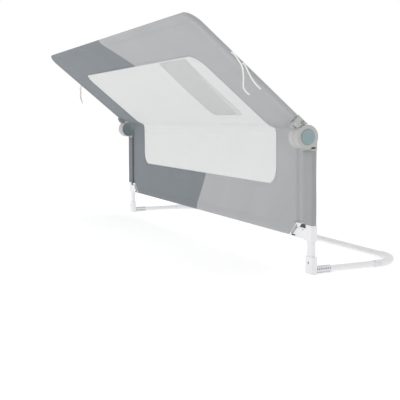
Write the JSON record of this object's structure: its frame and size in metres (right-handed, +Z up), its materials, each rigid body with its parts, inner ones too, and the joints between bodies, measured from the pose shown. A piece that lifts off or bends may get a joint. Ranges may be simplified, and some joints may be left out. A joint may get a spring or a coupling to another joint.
{
  "type": "bed guard rail",
  "caption": "Folding guard rail for a bed: cloth-covered two-part panel with a mesh window, hinged on short posts above a flat U-shaped base.",
  "frame": {"origin": "on the floor, under the middle of the part's bounding box, cords left out", "axes": "+X along the rail to the light-grey end, +Y towards the mattress side where the base reaches, +Z up"},
  "size_m": [1.2166, 0.5408, 0.537],
  "materials": {
    "dark_cloth": "woven cloth, dark blue-grey, matt",
    "light_cloth": "woven cloth, light grey, matt",
    "mesh_cloth": "fine white knitted mesh",
    "pocket_cloth": "light grey cloth, matt",
    "white_plastic": "satin white moulding",
    "hinge_plastic": "light grey moulding",
    "teal_plastic": "grey-teal moulding",
    "grip_rubber": "ribbed grey sleeve",
    "dark_plastic": "dark grey moulding",
    "cord": "thin white drawcord",
    "aluminium_tube": "drawn flat-oval tube, mostly inside the cloth",
    "white_steel_tube": "white powder-coated steel tube",
    "steel": "plated steel"
  },
  "bodies": {
    "base": {"lower_cover_dark": "dark_cloth", "lower_cover_light": "light_cloth", "window_mesh_lower": "mesh_cloth", "corner_bracket_left": "white_plastic", "corner_bracket_right": "white_plastic", "foot_left": "white_plastic", "foot_right": "white_plastic", "base_corner_left": "white_plastic", "base_corner_right": "white_plastic", "hinge_lower_housing_left": "hinge_plastic", "hinge_lower_housing_right": "hinge_plastic", "corner_button_left": "hinge_plastic", "corner_button_right": "hinge_plastic", "base_grip_left": "grip_rubber", "base_grip_right": "grip_rubber", "post_catch_left": "dark_plastic", "post_catch_right": "dark_plastic", "post_tube_left": "aluminium_tube", "post_tube_right": "aluminium_tube", "lower_tube": "aluminium_tube", "leg_left": "white_steel_tube", "leg_right": "white_steel_tube", "base_arm_left": "white_steel_tube", "base_arm_right": "white_steel_tube", "base_rear_bar": "white_steel_tube", "hinge_axle_left": "steel", "hinge_axle_right": "steel", "button_spring_left": "steel", "button_spring_right": "steel", "bracket_screw_left": "steel", "bracket_screw_right": "steel", "foot_screw_left": "steel", "foot_screw_right": "steel"},
    "upper_frame": {"upper_cover_dark": "dark_cloth", "upper_cover_light": "light_cloth", "window_mesh_upper": "mesh_cloth", "pocket": "pocket_cloth", "upper_tube_middle": "aluminium_tube", "upper_tube_left": "aluminium_tube", "upper_tube_right": "aluminium_tube", "hinge_upper_arm_left": "hinge_plastic", "hinge_upper_arm_right": "hinge_plastic", "hinge_inner_cap_left": "teal_plastic", "hinge_inner_cap_right": "teal_plastic", "socket_front_screw_left": "steel", "socket_front_screw_right": "steel", "socket_side_screw_left": "steel", "socket_side_screw_right": "steel", "drawcord_right_upper": "cord", "drawcord_right_lower": "cord", "drawcord_left_upper": "cord", "drawcord_left_lower": "cord"},
    "button_left": {"hinge_button_left": "teal_plastic", "lock_gear_left": "dark_plastic"},
    "button_right": {"hinge_button_right": "teal_plastic", "lock_gear_right": "dark_plastic"}
  },
  "joints": [
    {"name": "fold", "type": "hinge", "parent": "base", "child": "upper_frame", "pos_m": [0, -0.0033, 0.29], "axis": [1, 0, 0], "range_deg": [-50, 130]},
    {"name": "press_left", "type": "slide", "parent": "base", "child": "button_left", "axis": [1, 0, 0], "range_m": [0, 0.004], "stiffness_N_per_m": 600, "springref_m": -0.002, "deforming": ["button_spring_left"]},
    {"name": "press_right", "type": "slide", "parent": "base", "child": "button_right", "axis": [-1, 0, 0], "range_m": [0, 0.004], "stiffness_N_per_m": 600, "springref_m": -0.002, "deforming": ["button_spring_right"]}
  ]
}
